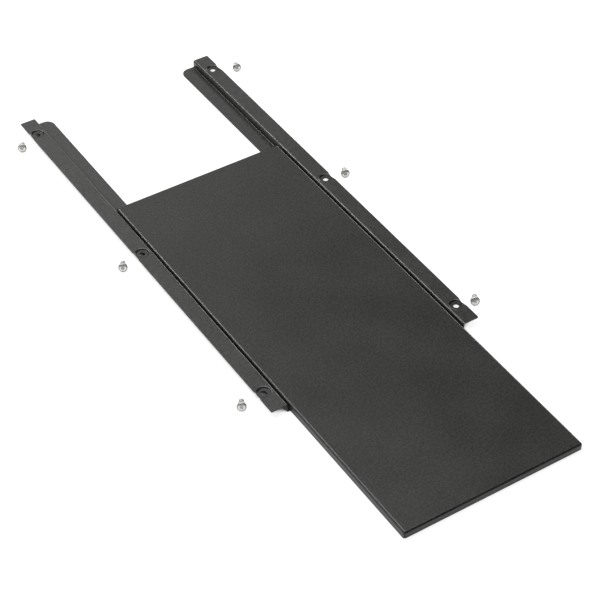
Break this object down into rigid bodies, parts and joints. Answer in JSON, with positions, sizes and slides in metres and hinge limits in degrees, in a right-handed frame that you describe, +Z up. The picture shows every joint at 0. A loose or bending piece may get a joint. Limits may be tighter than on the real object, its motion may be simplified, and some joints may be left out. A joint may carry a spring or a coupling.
{
  "type": "sliding mouse tray",
  "caption": "Under-desk mouse tray: a folded sheet-steel pan that slides on the ledges of Z-section mounting rails with dimpled screw holes. Its mounting screws lie loose beside them.",
  "frame": {"origin": "centre of the four corner screw holes, in the plane where the screw heads bear on the rails", "axes": "+X to the right, +Y to the rear, so the tray pulls out along -Y, and +Z up towards the desk"},
  "size_m": [0.2769, 0.6895, 0.0095],
  "materials": {
    "tray_coat": "fine-textured black powder coat on sheet steel, satin",
    "rail_coat": "fine-textured black powder coat on sheet steel, satin",
    "screw_zinc": "bright zinc plate"
  },
  "bodies": {
    "rails": {"left_rail": "rail_coat", "right_rail": "rail_coat", "rear_left_screw": "screw_zinc", "middle_left_screw": "screw_zinc", "front_left_screw": "screw_zinc", "rear_right_screw": "screw_zinc", "middle_right_screw": "screw_zinc", "front_right_screw": "screw_zinc"},
    "tray": {"tray": "tray_coat"}
  },
  "joints": [
    {"name": "tray_slide", "type": "slide", "parent": "rails", "child": "tray", "axis": [0, -1, 0], "range_m": [-0.1785, 0.2295]}
  ]
}
